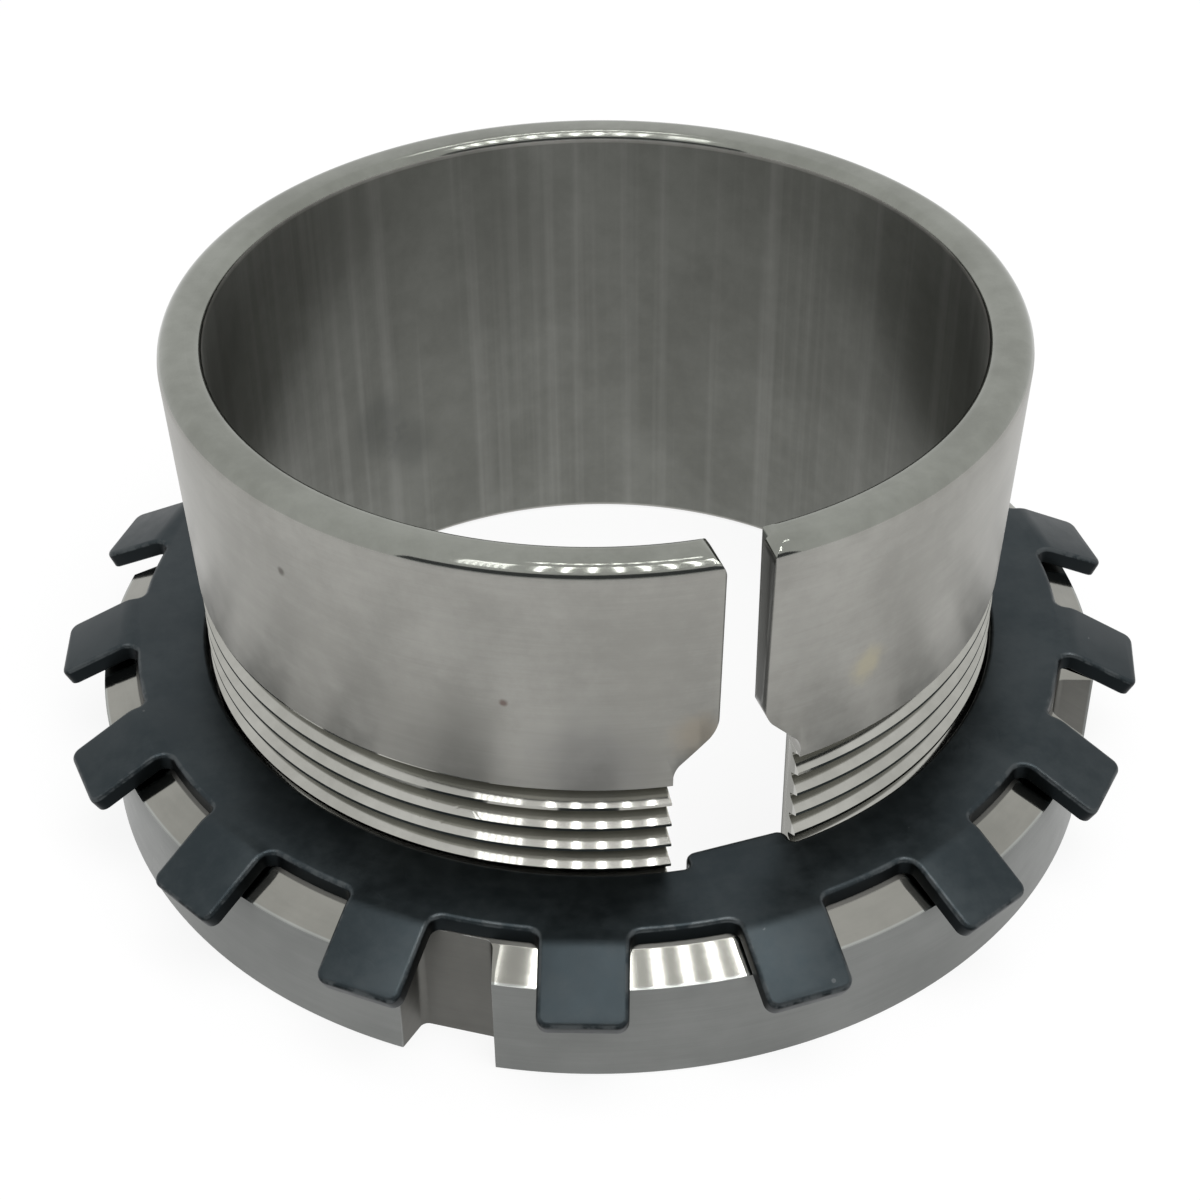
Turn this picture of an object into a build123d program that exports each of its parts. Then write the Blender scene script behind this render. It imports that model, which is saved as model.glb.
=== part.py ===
from build123d import *
from math import cos, hypot, radians, sin, tan
import os

# Bearing adapter sleeve with its lock washer and lock nut. All sizes are in millimetres.
# The origin is on the axis at the sleeve's threaded end, and +Z points to its large end.
# The slit and the keyway are on the -Y side, and turns are counted from there,
# counter-clockwise as seen from above.

# Sleeve
bore_d = 60.0
sleeve_length = 40.0
thread_wall = 2.5  # from the bore to the crest of the thread
thread_pitch = 2.0
thread_length = 20.0
taper_step = 0.15  # the taper's small end stands this much above the crest
taper_ratio = 12.0  # one in twelve on the diameter
mouth_round_outside = 1.2
mouth_chamfer_inside = 0.8
thread_end_chamfer = 0.7
bore_end_chamfer = 0.4

# Slit and keyway of the sleeve
slit_width = 3.4
slit_corner_round = 1.2
slit_bevel_depth = 1.2
slit_bevel_width = 0.65
keyway_width = 9.7
keyway_overrun = 1.5  # from the end of the thread to where the shoulders begin
shoulder_angle = 47.0
shoulder_round = 2.7
keyway_corner_round = 1.8

# Lock nut
nut_wall = 9.0  # from the crest of the thread to the outside
nut_width = 10.4  # its lower face is level with the sleeve's end
nut_bevel_width = 3.1
nut_bevel_angle = 25.0
nut_edge_break = 0.2
nut_mouth_chamfer = 0.9
slot_count = 4
slot_width = 7.3  # at the nut's outside
slot_depth = 3.0
slot_wall_lean = 14.0  # the walls draw together towards the floor
slot_corner_round = 0.5
slot_turn = -33.6
thread_clearance = 0.05

# Lock washer
washer_thickness = 1.5
washer_bore_clearance = 0.4  # around the crest of the thread
washer_rim_overhang = 0.1  # beyond the nut's flat face
tooth_count = 17
tooth_width = 6.5
tooth_reach = 6.5  # from the rim to the tooth's tip
tooth_bend_start = 0.5  # outside the rim
tooth_bend_angle = 27.5
tooth_bend_radius = 0.8
tooth_corner_round = 0.8
notch_corner_round = 0.8
tab_side_play = 0.85
tab_end_clearance = 1.0  # from the shaft to the tab's end
tab_corner_round = 0.8
tab_root_round = 0.5
washer_turn = 0.9  # the tab stands off the middle of the keyway within its play
tooth_turn = 0.8  # from the tab to the tooth beside it

# Sizes that follow from those above
bore_r = bore_d / 2
crest_r = bore_r + thread_wall
# A metric thread's flanks meet halfway, 3/8 of the sharp profile's height below the crest.
# Both threads are drawn as plain cylinders there.
pitch_r = crest_r - 0.375 * thread_pitch * cos(radians(30))
taper_small_r = crest_r + taper_step
taper_large_r = taper_small_r + (sleeve_length - thread_length) / taper_ratio / 2
shoulder_height = thread_length + keyway_overrun
shoulder_rise = (keyway_width - slit_width) / 2 * tan(radians(shoulder_angle))
nut_bore_r = pitch_r + thread_clearance
nut_r = crest_r + nut_wall
nut_face_r = nut_r - nut_bevel_width
nut_bevel_height = nut_bevel_width * tan(radians(nut_bevel_angle))
washer_bore_r = crest_r + washer_bore_clearance
washer_rim_r = nut_face_r + washer_rim_overhang
tooth_tip_r = washer_rim_r + tooth_reach
tab_width = keyway_width - 2 * tab_side_play
tab_end_r = bore_r + tab_end_clearance
slot_floor_r = nut_r - slot_depth
slot_spread = tan(radians(slot_wall_lean))
cut_margin = nut_r  # cutting bodies run this far past what they cut
slit_side = -90.0


def near_corner(sketch, x, y):
    """The corner of a flat sketch that lies nearest to a point."""
    return sketch.vertices().sort_by_distance((x, y, 0))[0]


def turned(section):
    """A body turned about the axis from a section drawn as radius and height."""
    return revolve(Plane.XZ * section, axis=Axis.Z)


def sleeve_blank():
    """The turned sleeve before it is slit: bore, thread land and taper."""
    section = make_face(
        Polyline(
            (bore_r, 0),
            (pitch_r, 0),
            (pitch_r, thread_length),
            (taper_small_r, thread_length),
            (taper_large_r, sleeve_length),
            (bore_r, sleeve_length),
            close=True,
        )
    )
    section = chamfer(near_corner(section, bore_r, 0), bore_end_chamfer)
    section = chamfer(near_corner(section, pitch_r, 0), thread_end_chamfer)
    section = fillet(near_corner(section, taper_large_r, sleeve_length), mouth_round_outside)
    section = chamfer(near_corner(section, bore_r, sleeve_length), mouth_chamfer_inside)
    return turned(section)


def slit_and_keyway():
    """The cut through the wall, seen from the front: slit, shoulders and keyway."""
    half_slit = slit_width / 2
    half_key = keyway_width / 2
    shoulder_top = shoulder_height + shoulder_rise
    outline = make_face(
        Polyline(
            (-half_key, -cut_margin),
            (half_key, -cut_margin),
            (half_key, shoulder_height),
            (half_slit, shoulder_top),
            (half_slit, sleeve_length),
            (cut_margin, sleeve_length),
            (cut_margin, sleeve_length + cut_margin),
            (-cut_margin, sleeve_length + cut_margin),
            (-cut_margin, sleeve_length),
            (-half_slit, sleeve_length),
            (-half_slit, shoulder_top),
            (-half_key, shoulder_height),
            close=True,
        )
    )
    for side in (-1, 1):
        mouth = near_corner(outline, side * half_slit, sleeve_length)
        outline = fillet(mouth, slit_corner_round)
        shoulder = near_corner(outline, side * half_slit, shoulder_top)
        outline = fillet(shoulder, shoulder_round)
        keyway_end = near_corner(outline, side * half_key, shoulder_height)
        outline = fillet(keyway_end, keyway_corner_round)
    return extrude(Plane.XZ * outline, amount=cut_margin)


def slit_bevels():
    """The wedge that bevels the slit's two edges along the bore."""
    widen = slit_bevel_width / slit_bevel_depth
    narrow = slit_width / 2
    wide = narrow + (slit_bevel_depth + thread_wall) * widen
    outer = bore_r + slit_bevel_depth
    inner = bore_r - thread_wall
    corners = [(-narrow, -outer), (narrow, -outer), (wide, -inner), (-wide, -inner)]
    wedge = make_face(Polyline(*corners, close=True))
    return extrude(wedge, amount=sleeve_length)


def make_adapter_sleeve():
    """The sleeve: turned, slit along its whole length, and keyed at its threaded end."""
    return sleeve_blank() - slit_and_keyway() - slit_bevels()


def nut_blank():
    """The turned ring nut with the bevel under the washer's teeth."""
    section = make_face(
        Polyline(
            (nut_bore_r, 0),
            (nut_r, 0),
            (nut_r, nut_width - nut_bevel_height),
            (nut_face_r, nut_width),
            (nut_bore_r, nut_width),
            close=True,
        )
    )
    section = chamfer(near_corner(section, nut_bore_r, 0), nut_mouth_chamfer)
    section = chamfer(near_corner(section, nut_bore_r, nut_width), nut_mouth_chamfer)
    section = chamfer(near_corner(section, nut_r, 0), nut_edge_break)
    return turned(section)


def spanner_slot():
    """One slot for the hook spanner, milled through the whole width of the nut."""
    outer = slot_floor_r + cut_margin
    narrow = slot_width / 2 - slot_depth * slot_spread
    wide = narrow + cut_margin * slot_spread
    corners = [(slot_floor_r, -narrow), (outer, -wide), (outer, wide), (slot_floor_r, narrow)]
    section = make_face(Polyline(*corners, close=True))
    for side in (-1, 1):
        corner = near_corner(section, slot_floor_r, side * narrow)
        section = fillet(corner, slot_corner_round)
    return extrude(section, amount=nut_width)


def make_lock_nut():
    """The nut, with its lower face level with the sleeve's end."""
    nut = nut_blank()
    for index in range(slot_count):
        turn = slit_side + slot_turn + index * 360 / slot_count
        nut = nut - Rot(0, 0, turn) * spanner_slot()
    return nut


def washer_outline():
    """The stamped outline: rim, teeth and inner tab, with the tab along +X."""
    rim = Circle(washer_rim_r)
    tooth = Pos(tooth_tip_r, 0) * Rectangle(3 * tooth_reach, tooth_width)
    for index in range(tooth_count):
        rim = rim + Rot(0, 0, tooth_turn + index * 360 / tooth_count) * tooth
    roots = rim.vertices().filter_by(lambda v: abs(hypot(v.X, v.Y) - washer_rim_r) < tooth_reach / 10)
    outline = fillet(roots, notch_corner_round)
    tab_root = washer_bore_r + washer_thickness
    tab = Pos((tab_end_r + tab_root) / 2, 0) * Rectangle(tab_root - tab_end_r, tab_width)
    for side in (-1, 1):
        tab = fillet(near_corner(tab, tab_end_r, side * tab_width / 2), tab_corner_round)
    hole = Circle(washer_bore_r) - tab
    for side in (-1, 1):
        hole = fillet(near_corner(hole, washer_bore_r, side * tab_width / 2), tab_root_round)
    return outline - hole


def bent_tooth():
    """One tooth's strip of sheet, seen from the side: flat on the nut's face, then bent down."""
    bend = radians(tooth_bend_angle)
    bend_x = washer_rim_r + tooth_bend_start
    outer_radius = tooth_bend_radius + washer_thickness
    centre = (bend_x, -tooth_bend_radius)
    lower_end = Vector(*centre) + Vector(sin(bend), cos(bend)) * tooth_bend_radius
    upper_end = Vector(*centre) + Vector(sin(bend), cos(bend)) * outer_radius
    run = (tooth_tip_r - upper_end.X) / cos(bend)
    along = Vector(cos(bend), -sin(bend)) * run
    root_x = washer_rim_r - washer_thickness
    start = 90 - tooth_bend_angle
    section = make_face(
        [
            Line((root_x, 0), (bend_x, 0)),
            CenterArc(centre, tooth_bend_radius, start, tooth_bend_angle),
            Line(lower_end, lower_end + along),
            Line(lower_end + along, upper_end + along),
            Line(upper_end + along, upper_end),
            CenterArc(centre, outer_radius, start, tooth_bend_angle),
            Line((bend_x, washer_thickness), (root_x, washer_thickness)),
            Line((root_x, washer_thickness), (root_x, 0)),
        ]
    )
    width = tooth_width + 2 * notch_corner_round
    return extrude(Plane.XZ * section, amount=width / 2, both=True)


def formed_sheet():
    """The sheet before it is cut to its outline: a flat ring with a bent strip for each tooth."""
    sheet = extrude(Circle(washer_rim_r + tooth_bend_start / 2), amount=washer_thickness)
    strip = bent_tooth()
    turns = [tooth_turn + index * 360 / tooth_count for index in range(tooth_count)]
    return sheet + [Rot(0, 0, turn) * strip for turn in turns]


def at_tooth_corner(edge):
    """Whether an edge is one of the short upright ones at a tooth's tip."""
    middle = edge.center()
    is_upright = edge.length < 1.2 * washer_thickness
    return is_upright and hypot(middle.X, middle.Y) > tooth_tip_r - washer_thickness


def make_lock_washer():
    """The washer: its outline cut from the formed sheet, at its height on the nut."""
    depth = tooth_reach
    blank = Pos(0, 0, -depth) * extrude(washer_outline(), amount=depth + 2 * washer_thickness)
    washer = formed_sheet() & blank
    washer = fillet(washer.edges().filter_by(at_tooth_corner), tooth_corner_round)
    return Pos(0, 0, nut_width) * Rot(0, 0, slit_side + washer_turn) * washer


def write_parts():
    """Write each piece to its own file."""
    os.makedirs("parts", exist_ok=True)
    pieces = {
        "adapter_sleeve": make_adapter_sleeve(),
        "lock_nut": make_lock_nut(),
        "lock_washer": make_lock_washer(),
    }
    for name, piece in pieces.items():
        export_step(piece, f"parts/{name}.step")


write_parts()
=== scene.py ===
"""Bearing adapter sleeve with its lock washer and lock nut.

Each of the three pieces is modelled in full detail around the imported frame: the sleeve and
the nut with their real helical threads, the washer with its bent teeth and rolled edges.
Meshes are built in millimetres and brought to metres when they are finished.
"""
import logging
import math
from dataclasses import dataclass, field
from enum import Enum
from functools import reduce
from typing import Callable, Optional, Sequence

import bmesh
import bpy
from bmesh.types import BMEdge, BMesh, BMVert
from bpy.types import Material, Node, NodeSocket, NodeTree, Object
from mathutils import Matrix, Vector


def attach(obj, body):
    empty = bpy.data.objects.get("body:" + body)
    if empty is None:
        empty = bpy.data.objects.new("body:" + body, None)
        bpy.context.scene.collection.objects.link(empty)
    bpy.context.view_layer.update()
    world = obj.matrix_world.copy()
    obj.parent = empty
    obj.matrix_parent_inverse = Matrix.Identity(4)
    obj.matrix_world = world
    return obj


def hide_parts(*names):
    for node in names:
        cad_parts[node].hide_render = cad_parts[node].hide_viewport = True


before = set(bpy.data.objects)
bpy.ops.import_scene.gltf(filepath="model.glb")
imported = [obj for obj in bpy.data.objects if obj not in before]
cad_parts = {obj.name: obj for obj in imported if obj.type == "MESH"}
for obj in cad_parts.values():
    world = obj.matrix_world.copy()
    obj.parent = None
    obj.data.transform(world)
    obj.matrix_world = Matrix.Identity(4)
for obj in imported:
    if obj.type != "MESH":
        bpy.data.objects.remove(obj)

log = logging.getLogger("adapter_sleeve")

Colour = tuple[float, float, float, float]

MM = 0.001
MM_PER_M = 1000.0
TURN_STEPS = 256
FULL_TURN = 2 * math.pi
FAR = 50.0
MIDDLE = 0.5
SAME_PLACE = 1e-4
SHARP_ANGLE = math.radians(28)
STRAIGHT = math.radians(179.7)
WORN = "worn_edge"


class Body(Enum):
    """The moving bodies that pieces ride on."""

    SLEEVE = "sleeve"
    WASHER = "washer"
    NUT = "nut"


class Slot(Enum):
    """The record's material slots."""

    GROUND = "ground_steel"
    TURNED = "turned_steel"
    BLACKENED = "blackened_steel"


class Side(Enum):
    """The side of a wall on which a thread is cut."""

    OUTSIDE = 1
    INSIDE = -1


# Mesh helpers


def at_turn(radius: float, height: float, turn: float = 0.0) -> Vector:
    """A point by radius, height and turn in radians from the slit's side, anticlockwise.

    Args:
        radius: Distance from the axis in millimetres.
        height: Height above the sleeve's threaded end in millimetres.
        turn: Turn about the axis in radians.

    Returns:
        The point in the part's own frame.
    """
    return Vector((radius * math.sin(turn), -radius * math.cos(turn), height))


def arc_points(
    centre: tuple[float, float], radius: float, start: float, end: float, steps: int
) -> list[tuple[float, float]]:
    """Points along an arc in a section drawn as radius and height.

    Args:
        centre: The arc's centre.
        radius: The arc's radius.
        start: First angle in degrees.
        end: Last angle in degrees.
        steps: How many chords the arc has.

    Returns:
        The points, both ends among them.
    """
    angles = [math.radians(start + (end - start) * i / steps) for i in range(steps + 1)]
    return [(centre[0] + radius * math.cos(a), centre[1] + radius * math.sin(a)) for a in angles]


def add_chain(bm: BMesh, points: Sequence[Vector]) -> list:
    """Adds a chain of vertices and edges.

    Args:
        bm: The mesh that gets the chain.
        points: Where its vertices are.

    Returns:
        The new vertices and edges.
    """
    verts = [bm.verts.new(p) for p in points]
    edges = [bm.edges.new(pair) for pair in zip(verts, verts[1:])]
    return verts + edges


def turn_chain(bm: BMesh, chain: list, rise: float = 0.0) -> None:
    """Turns a chain once about the axis.

    Args:
        bm: The mesh that the chain is in.
        chain: Its vertices and edges.
        rise: How far the chain climbs in the whole turn.
    """
    bmesh.ops.spin(
        bm,
        geom=chain,
        cent=(0, 0, 0),
        axis=(0, 0, 1),
        dvec=(0, 0, rise / TURN_STEPS),
        angle=FULL_TURN,
        steps=TURN_STEPS,
        use_merge=rise == 0,
        use_normal_flip=False,
        use_duplicate=False,
    )


def middle_of(edge: BMEdge) -> Vector:
    """The point halfway along an edge."""
    return (edge.verts[0].co + edge.verts[1].co) / 2


def open_edges(bm: BMesh, near: Callable[[Vector], bool]) -> list[BMEdge]:
    """The edges with one face only whose middle passes a test.

    Args:
        bm: The mesh to look through.
        near: The test on the middle of an edge.

    Returns:
        The edges that pass.
    """
    return [edge for edge in bm.edges if edge.is_boundary and near(middle_of(edge))]


def close_ring(bm: BMesh, height: float, facing: float) -> None:
    """Fills the flat ring between the two open loops at one height.

    Args:
        bm: The mesh with the open loops.
        height: Where the loops lie.
        facing: Plus one for a ring that looks up, minus one for one that looks down.
    """
    edges = open_edges(bm, lambda m: abs(m.z - height) < 1e-3)
    bmesh.ops.triangle_fill(bm, edges=edges, use_beauty=True, normal=(0, 0, facing))


def as_object(name: str, bm: BMesh, scale: float = 1.0) -> Object:
    """Makes a scene object of a finished mesh.

    Args:
        name: The object's name.
        bm: The mesh, which is freed.
        scale: What its coordinates are multiplied by.

    Returns:
        The object, at the origin.
    """
    bmesh.ops.scale(bm, vec=(scale,) * 3, verts=bm.verts)
    mesh = bpy.data.meshes.new(name)
    bm.to_mesh(mesh)
    bm.free()
    made = bpy.data.objects.new(name, mesh)
    bpy.context.scene.collection.objects.link(made)
    return made


def add_mesh(bm: BMesh, extra: BMesh) -> None:
    """Adds one mesh to another.

    Args:
        bm: The mesh that grows.
        extra: The mesh to add, which is freed.
    """
    joined = bpy.data.meshes.new("joined")
    extra.to_mesh(joined)
    extra.free()
    bm.from_mesh(joined)
    bpy.data.meshes.remove(joined)


def turned_surface(section: Sequence[tuple[float, float]]) -> BMesh:
    """The surface that a section sweeps in one turn.

    Args:
        section: Its points as radius and height.

    Returns:
        The surface, open at both ends.
    """
    bm = bmesh.new()
    turn_chain(bm, add_chain(bm, [at_turn(r, z) for r, z in section]))
    return bm


def close_wall(band: BMesh, shell: BMesh, rings: Sequence[tuple[float, float]]) -> BMesh:
    """Joins a thread and the rest of a turned surface into one closed mesh.

    Args:
        band: The thread, open at both ends.
        shell: The rest of the surface, which is freed.
        rings: The flat rings that join them, each as its height and the way it faces.

    Returns:
        The closed mesh.
    """
    add_mesh(band, shell)
    for height, facing in rings:
        close_ring(band, height, facing)
    bmesh.ops.remove_doubles(band, verts=band.verts, dist=SAME_PLACE)
    bmesh.ops.recalc_face_normals(band, faces=band.faces)
    return band


def new_verts(made: dict) -> list[BMVert]:
    """The vertices among what a mesh operator made."""
    return [part for part in made["geom"] if isinstance(part, BMVert)]


def cut_away(bm: BMesh, cutters: Sequence[BMesh]) -> BMesh:
    """Cuts closed shapes out of a closed mesh.

    Args:
        bm: The mesh to cut, which is freed.
        cutters: The shapes to take away, which are freed.

    Returns:
        The mesh that is left.
    """
    blank = as_object("blank", bm)
    tools = [as_object(f"cutter_{i}", cutter) for i, cutter in enumerate(cutters)]
    for tool in tools:
        cut = blank.modifiers.new(tool.name, "BOOLEAN")
        cut.operation = "DIFFERENCE"
        cut.solver = "EXACT"
        cut.object = tool
    shown = blank.evaluated_get(bpy.context.evaluated_depsgraph_get())
    left = bmesh.new()
    left.from_mesh(shown.to_mesh())
    shown.to_mesh_clear()
    for used in [blank, *tools]:
        mesh = used.data
        bpy.data.objects.remove(used)
        bpy.data.meshes.remove(mesh)
    bmesh.ops.remove_doubles(left, verts=left.verts, dist=2 * SAME_PLACE)
    return left


def round_off(
    bm: BMesh, parts: Sequence, width: float, steps: int, kind: str, clamp: bool = True
) -> dict:
    """Rounds edges or corners of a mesh.

    Args:
        bm: The mesh.
        parts: The edges or the corner vertices.
        width: How far the round reaches on each side.
        steps: How many facets it gets.
        kind: Which of the two they are, EDGES or VERTICES.
        clamp: Whether the width gives way where edges are short.

    Returns:
        The new faces, edges and vertices.
    """
    return bmesh.ops.bevel(
        bm,
        geom=list(parts),
        offset=width,
        offset_type="OFFSET",
        segments=steps,
        profile=0.5,
        affect=kind,
        clamp_overlap=clamp,
        material=-1,
    )


def round_edges(
    bm: BMesh, edges: Sequence[BMEdge], width: float, steps: int, clamp: bool = True
) -> None:
    """Rounds edges of a mesh, and marks the rounds as places that wear bright.

    Args:
        bm: The mesh.
        edges: The edges to round.
        width: How far the round reaches on each side.
        steps: How many facets it gets.
        clamp: Whether the width gives way where edges are short.
    """
    worn = bm.verts.layers.float.get(WORN) or bm.verts.layers.float.new(WORN)
    made = round_off(bm, edges, width, steps, "EDGES", clamp)
    rounds = set(made["faces"])
    for vert in made["verts"]:
        vert[worn] = 1.0 if rounds.issuperset(vert.link_faces) else 0.0


def round_corner(bm: BMesh, point: Vector, width: float, steps: int) -> None:
    """Rounds the corner of a flat outline that lies nearest to a point.

    Args:
        bm: The mesh with the outline.
        point: Where the corner is.
        width: How far the round reaches along both sides of it.
        steps: How many chords it gets.
    """
    corner = min(bm.verts, key=lambda v: (v.co - point).length_squared)
    round_off(bm, [corner], width, steps, "VERTICES")


def upright_prism(
    outline: Sequence[tuple[float, float]],
    rounds: Sequence[tuple[float, float, float]],
    plane: Matrix,
    depth: float,
) -> BMesh:
    """A straight bar with a drawn section, used as a cutter.

    Args:
        outline: The section's corners.
        rounds: Corners to round, each as its two coordinates and the round's reach.
        plane: Takes the section's plane to its place in the part.
        depth: How long the bar is along the section's normal.

    Returns:
        The bar as a closed mesh.
    """
    bm = bmesh.new()
    bm.faces.new([bm.verts.new((x, y, 0)) for x, y in outline])
    for x, y, reach in rounds:
        round_corner(bm, Vector((x, y, 0)), reach, 8)
    walls = bmesh.ops.extrude_face_region(bm, geom=list(bm.faces))
    bmesh.ops.translate(bm, verts=new_verts(walls), vec=(0, 0, depth))
    bmesh.ops.transform(bm, matrix=plane, verts=bm.verts)
    bmesh.ops.recalc_face_normals(bm, faces=bm.faces)
    return bm


def finish_piece(
    name: str,
    bm: BMesh,
    material: Material,
    body: Body,
    node: str,
) -> Object:
    """Turns a mesh into a dressed piece that stands for its node.

    Args:
        name: The piece's name.
        bm: The closed mesh in millimetres, which is freed.
        material: Its finish.
        body: The body it rides on.
        node: The node it stands for.

    Returns:
        The piece.
    """
    for face in bm.faces:
        face.smooth = True
    for edge in bm.edges:
        edge.smooth = edge.is_manifold and edge.calc_face_angle(math.pi) < SHARP_ANGLE
    loose = sum(not edge.is_manifold for edge in bm.edges)
    piece = as_object(name, bm, MM)
    piece.data.materials.append(material)
    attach(piece, body.value)
    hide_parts(node)
    log.info("%s: %d faces, %d open edges", name, len(piece.data.polygons), loose)
    return piece


# Node helpers


class Graph:
    """A node tree with short calls that add nodes and join them."""

    def __init__(self, tree: NodeTree) -> None:
        """Keeps the tree that nodes are added to."""
        self.tree = tree

    def node(self, kind: str, inputs: Optional[dict] = None, **settings: object) -> Node:
        """Adds a node.

        Args:
            kind: Blender's name for the node's type.
            inputs: A value or an output socket for each input, by name or number.
            settings: Values for the node's own properties.

        Returns:
            The new node.
        """
        made = self.tree.nodes.new(kind)
        for key, value in settings.items():
            setattr(made, key, value)
        for key, value in (inputs or {}).items():
            if isinstance(value, NodeSocket):
                self.tree.links.new(value, made.inputs[key])
            else:
                made.inputs[key].default_value = value
        return made

    def group(self, tree: NodeTree, *inputs: object) -> Node:
        """Adds a node group and fills its inputs in order."""
        return self.node("ShaderNodeGroup", dict(enumerate(inputs)), node_tree=tree)

    def math(self, operation: str, *values: object, clamp: bool = False) -> NodeSocket:
        """Adds an arithmetic node and returns its result."""
        inputs = dict(enumerate(values))
        return self.node("ShaderNodeMath", inputs, operation=operation, use_clamp=clamp).outputs[0]

    def total(self, *values: NodeSocket) -> NodeSocket:
        """Adds up numbers."""
        return reduce(lambda a, b: self.math("ADD", a, b), values)

    def swing(self, value: NodeSocket, amount: float) -> NodeSocket:
        """Scales how far a noise value lies from its middle."""
        return self.math("MULTIPLY", self.math("SUBTRACT", value, MIDDLE), amount)

    def ramp(
        self, value: NodeSocket, low: float, high: float, to_low: float = 0.0, to_high: float = 1.0
    ) -> NodeSocket:
        """Maps a number from one range smoothly to another.

        Args:
            value: The number's socket.
            low: Where the first range starts.
            high: Where it ends.
            to_low: What the start becomes.
            to_high: What the end becomes.

        Returns:
            The mapped number.
        """
        inputs = dict(enumerate((value, low, high, to_low, to_high)))
        return self.node("ShaderNodeMapRange", inputs, interpolation_type="SMOOTHSTEP").outputs[0]

    def noise(
        self, vector: NodeSocket, scale: object, detail: float = 2.0, rough: float = 0.5
    ) -> NodeSocket:
        """Adds noise.

        Args:
            vector: Where it is read.
            scale: Its cells per unit of the vector.
            detail: How many finer layers it has.
            rough: How strong the finer layers are.

        Returns:
            Its value, near one half on average.
        """
        inputs = {"Vector": vector, "Scale": scale, "Detail": detail, "Roughness": rough}
        return self.node("ShaderNodeTexNoise", inputs, noise_dimensions="3D").outputs[0]

    def mix(self, factor: object, a: object, b: object, blend: str = "MIX") -> NodeSocket:
        """Mixes two colours and returns the result."""
        inputs = {0: factor, 6: a, 7: b}
        return self.node("ShaderNodeMix", inputs, data_type="RGBA", blend_type=blend).outputs[2]

    def mix_numbers(self, factor: NodeSocket, a: object, b: object) -> NodeSocket:
        """Mixes two numbers and returns the result."""
        return self.node("ShaderNodeMix", {0: factor, 2: a, 3: b}, data_type="FLOAT").outputs[0]

    def close(self, *values: NodeSocket) -> NodeTree:
        """Puts a group's results out and returns the group."""
        self.node("NodeGroupOutput", dict(enumerate(values)))
        return self.tree


def new_group(name: str, inputs: dict[str, float], outputs: Sequence[str]) -> tuple[Graph, Node]:
    """Starts a shader node group.

    Args:
        name: The group's name.
        inputs: Its number inputs with their defaults, after a vector input named Position.
        outputs: Its number outputs.

    Returns:
        The group's graph and its input node.
    """
    group = bpy.data.node_groups.new(name, "ShaderNodeTree")
    group.interface.new_socket("Position", in_out="INPUT", socket_type="NodeSocketVector")
    for key, value in inputs.items():
        made = group.interface.new_socket(key, in_out="INPUT", socket_type="NodeSocketFloat")
        made.default_value = value
    for key in outputs:
        group.interface.new_socket(key, in_out="OUTPUT", socket_type="NodeSocketFloat")
    graph = Graph(group)
    return graph, graph.node("NodeGroupInput")


def new_material(name: str) -> tuple[Material, Graph]:
    """Starts a material without nodes.

    Args:
        name: The material's name.

    Returns:
        The material and its graph.
    """
    made = bpy.data.materials.new(name)
    made.use_nodes = True
    made.node_tree.nodes.clear()
    return made, Graph(made.node_tree)


# The finishes


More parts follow.
